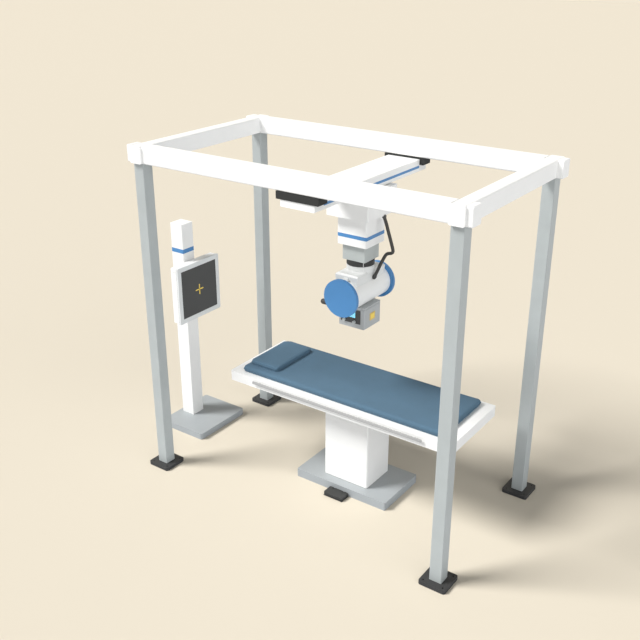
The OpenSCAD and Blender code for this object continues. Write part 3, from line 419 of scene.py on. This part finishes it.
def rings(path, radii, m):
    """Rings of m points round a path that lies in a plane of constant y."""
    verts, side, n = [], Vector((0, 1, 0)), len(path)
    for i, (p, r) in enumerate(zip(path, radii)):
        t = (path[min(i + 1, n - 1)] - path[max(i - 1, 0)]).normalized()
        up = side.cross(t).normalized()
        for j in range(m):
            a = 2 * math.pi * j / m
            verts.append(p + side * math.cos(a) * r + up * math.sin(a) * r)
    return verts


def hose(name, path, stands_for):
    """One length of the cable, drawn out between two bodies."""
    n, m = len(path), HOSE_SIDES
    verts, faces = rings(path, [RADIUS] * n, m), []
    for i in range(n - 1):
        for j in range(m):
            k = (j + 1) % m
            faces.append((i * m + j, i * m + k, (i + 1) * m + k, (i + 1) * m + j))
    faces.append(tuple(range(m - 1, -1, -1)))
    faces.append(tuple((n - 1) * m + j for j in range(m)))
    obj = add_mesh(name, verts, faces, rubber)
    for face in obj.data.polygons:
        face.use_smooth = len(face.vertices) == 4
    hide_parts(stands_for)
    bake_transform(obj)


hose("cable_upper_hose", upper_path, "cable_upper")
hose("cable_lower_hose", lower_path, "cable_lower")


def boot(name, path, start, length, wide, body):
    """Tapered strain relief round the hose, from this distance along its path."""
    shares = [(0.0, 1.0), (0.2, 1.0), (0.4, 0.92), (0.6, 0.6), (0.8, 0.25), (1.0, 0.1)]
    n, m, faces = len(shares), BOOT_SIDES, []
    centres = [along(path, start + share * length) for share, _ in shares]
    outer = rings(centres, [RADIUS + (wide - RADIUS) * grow for _, grow in shares], m)
    inner = rings(centres, [RADIUS - 0.001] * n, m)
    base, end = n * m, (n - 1) * m
    for j in range(m):
        k = (j + 1) % m
        for row in range(0, end, m):
            faces.append((row + j, row + k, row + m + k, row + m + j))
            faces.append((base + row + k, base + row + j, base + row + m + j, base + row + m + k))
        faces.append((j, base + j, base + k, k))
        faces.append((end + j, end + k, base + end + k, base + end + j))
    obj = add_mesh(name, outer + inner, faces, plastic)
    smooth_faces(obj)
    split = obj.modifiers.new("split", "EDGE_SPLIT")
    split.split_angle = math.radians(40)
    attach(obj, body)


boot("cable_boot_upper", upper_path, 0.006, 0.024, 0.0185, "carriage")
boot("cable_boot_lower", lower_path[::-1], 0.011, 0.03, 0.0175, "yoke")

# Mattress and pillow: stuffed covers, inflated a little as cloth


def rounded_block(name, low, high, corner, edge):
    """A slab with rounded upright corners and soft long edges."""
    bm = bmesh.new()
    x0, y0, z0 = low
    x1, y1, z1 = high
    ring = rounded_rectangle(x0, x1, y0, y1, corner)
    low_face = [bm.verts.new((x, y, z0)) for x, y in ring]
    high_face = [bm.verts.new((x, y, z1)) for x, y in ring]
    bm.faces.new(list(reversed(low_face)))
    bm.faces.new(high_face)
    for i in range(len(ring)):
        j = (i + 1) % len(ring)
        bm.faces.new((low_face[i], low_face[j], high_face[j], high_face[i]))
    rims = [e for e in bm.edges if abs(e.verts[0].co.z - e.verts[1].co.z) < 1e-6]
    bmesh.ops.bevel(bm, geom=rims, offset=edge, segments=5, profile=0.5, affect="EDGES")
    data = bpy.data.meshes.new(name)
    bm.to_mesh(data)
    bm.free()
    obj = bpy.data.objects.new(name, data)
    scene.collection.objects.link(obj)
    return obj


def bake(obj):
    """Applies the modifiers by taking the evaluated mesh."""
    view = bpy.context.evaluated_depsgraph_get()
    data = bpy.data.meshes.new_from_object(obj.evaluated_get(view))
    obj.modifiers.clear()
    obj.data = data


PIN_HEIGHT = 0.006


def stuffed(
    name, low, high, corner, edge, voxel, frames, pressure, cap, floor_z, look, body, stands_for
):
    """A cover swelled by pressure, held at its underside and moved by no more than cap."""
    obj = rounded_block(name, low, high, corner, edge)
    rest_before = None
    remesh = obj.modifiers.new("remesh", "REMESH")
    remesh.mode = "VOXEL"
    remesh.voxel_size = voxel
    bake(obj)
    rest_before = [v.co.copy() for v in obj.data.vertices]
    pin = obj.vertex_groups.new(name="pin")
    pin.add([v.index for v in obj.data.vertices if v.co.z < floor_z + PIN_HEIGHT], 1.0, "REPLACE")
    sim = obj.modifiers.new("cloth", "CLOTH")
    sim.settings.effector_weights.gravity = 0.0
    sim.settings.use_pressure = True
    sim.settings.uniform_pressure_force = pressure
    sim.settings.vertex_group_mass = "pin"
    sim.settings.quality = 5
    sim.settings.tension_stiffness = 25
    sim.settings.compression_stiffness = 25
    sim.settings.bending_stiffness = 3.0
    sim.point_cache.frame_start = 1
    sim.point_cache.frame_end = frames
    for frame_number in range(1, frames + 1):
        scene.frame_set(frame_number)
    bake(obj)
    scene.frame_set(1)
    for v, old in zip(obj.data.vertices, rest_before):
        move = v.co - old
        if move.length > cap:
            v.co = old + move * (cap / move.length)
        v.co.z = max(v.co.z, floor_z)
    soft = obj.modifiers.new("soft", "SMOOTH")
    soft.factor = 0.5
    soft.iterations = 2 if rest_before else 0
    bake(obj)
    obj.data.materials.clear()
    obj.data.materials.append(look)
    smooth_faces(obj)
    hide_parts(stands_for)
    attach(obj, body)


stuffed(
    "mattress_pad", (-0.97, -0.325, 0.8995), (0.965, 0.325, 0.945), 0.022, 0.01, 0.008, 8, 3.0, 0.005, 0.8993,
    cloth, "table_float", "mattress",
)
stuffed(
    "pillow_pad", (-0.94, -0.255, 0.9475), (-0.655, 0.24, 0.985), 0.022, 0.01, 0.005, 10, 3.0, 0.006, 0.9473,
    cloth, "table_float", "pillow",
)


def seam(name, x0, x1, y0, y1, corner, z, radius, look, body):
    """Piping round a pad."""
    pts = [Vector((x, y, z)) for x, y in rounded_rectangle(x0, x1, y0, y1, corner)]
    n, m = len(pts), PIPING_SIDES
    verts, faces = [], []
    for i, p in enumerate(pts):
        t = (pts[(i + 1) % n] - pts[i - 1]).normalized()
        out = Vector((t.y, -t.x, 0))
        for j in range(m):
            a = 2 * math.pi * j / m
            verts.append(p + out * math.cos(a) * radius + Vector((0, 0, 1)) * math.sin(a) * radius)
    for i in range(n):
        for j in range(m):
            k = (j + 1) % m
            i2 = (i + 1) % n
            faces.append((i * m + j, i * m + k, i2 * m + k, i2 * m + j))
    obj = add_mesh(name, verts, faces, look)
    smooth_faces(obj)
    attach(obj, body)


seam("mattress_piping", -0.9715, 0.9665, -0.3265, 0.3265, 0.0235, 0.9222, 0.003, piping, "table_float")
seam("pillow_piping", -0.9415, -0.6535, -0.2565, 0.2415, 0.0235, 0.9662, 0.0025, piping, "table_float")

# Floor, sky and sun

floor_look = bpy.data.materials.new("floor")
floor_look.use_nodes = True
floor_nodes, floor_links = floor_look.node_tree.nodes, floor_look.node_tree.links
floor_bsdf = floor_nodes["Principled BSDF"]
floor_bsdf.inputs["Roughness"].default_value = 0.9
floor_bsdf.inputs["Specular IOR Level"].default_value = 0.1
floor_ray = floor_nodes.new("ShaderNodeLightPath")
floor_tint = floor_nodes.new("ShaderNodeMix")
floor_tint.data_type = "RGBA"
floor_tint.inputs["A"].default_value = (0.64, 0.635, 0.63, 1)
floor_tint.inputs["B"].default_value = (0.665, 0.604, 0.497, 1)
floor_links.new(floor_ray.outputs["Is Camera Ray"], floor_tint.inputs["Factor"])
floor_links.new(floor_tint.outputs["Result"], floor_bsdf.inputs["Base Color"])
REACH, FLOOR_Z = 60, -0.001
corners = ((-REACH, -REACH), (REACH, -REACH), (REACH, REACH), (-REACH, REACH))
floor_square = [(x, y, FLOOR_Z) for x, y in corners]
floor = add_mesh("floor", floor_square, [(0, 1, 2, 3)], floor_look)

world = bpy.data.worlds.new("world")
scene.world = world
world.use_nodes = True
sky_nodes, sky_links = world.node_tree.nodes, world.node_tree.links
sky = sky_nodes["Background"]
sky.inputs["Color"].default_value = (0.96, 0.98, 1.0, 1)
sky.inputs["Strength"].default_value = 0.22
seen = sky_nodes.new("ShaderNodeBackground")
seen.inputs["Color"].default_value = srgb("f2e8d5")
ray = sky_nodes.new("ShaderNodeLightPath")
mix = sky_nodes.new("ShaderNodeMixShader")
rays = sky_nodes.new("ShaderNodeMath")
rays.operation = "MAXIMUM"
bounced = sky_nodes.new("ShaderNodeMath")
bounced.operation = "MAXIMUM"
sky_links.new(ray.outputs["Is Glossy Ray"], bounced.inputs[0])
sky_links.new(ray.outputs["Is Transmission Ray"], bounced.inputs[1])
sky_links.new(ray.outputs["Is Camera Ray"], rays.inputs[0])
sky_links.new(bounced.outputs["Value"], rays.inputs[1])
sky_links.new(rays.outputs["Value"], mix.inputs["Fac"])
sky_links.new(sky.outputs["Background"], mix.inputs[1])
sky_links.new(seen.outputs["Background"], mix.inputs[2])
sky_links.new(mix.outputs["Shader"], sky_nodes["World Output"].inputs["Surface"])

light = bpy.data.lights.new("sun", "SUN")
light.energy = 4.0
light.angle = math.radians(21)
light.color = (1.0, 0.99, 0.975)
sun = bpy.data.objects.new("sun", light)
SUN_TURN, SUN_RISE = 42.0, 47.0
sun.rotation_euler = (math.radians(90 - SUN_RISE), 0.0, math.radians(SUN_TURN - 90))
scene.collection.objects.link(sun)
fill = bpy.data.lights.new("fill", "SUN")
fill.energy = 2.1
fill.angle = math.radians(80)
fill.color = (0.98, 0.99, 1.0)
window = bpy.data.objects.new("fill", fill)
window.rotation_euler = Vector((-0.875, 0.425, -0.19)).to_track_quat("-Z", "Y").to_euler()
scene.collection.objects.link(window)
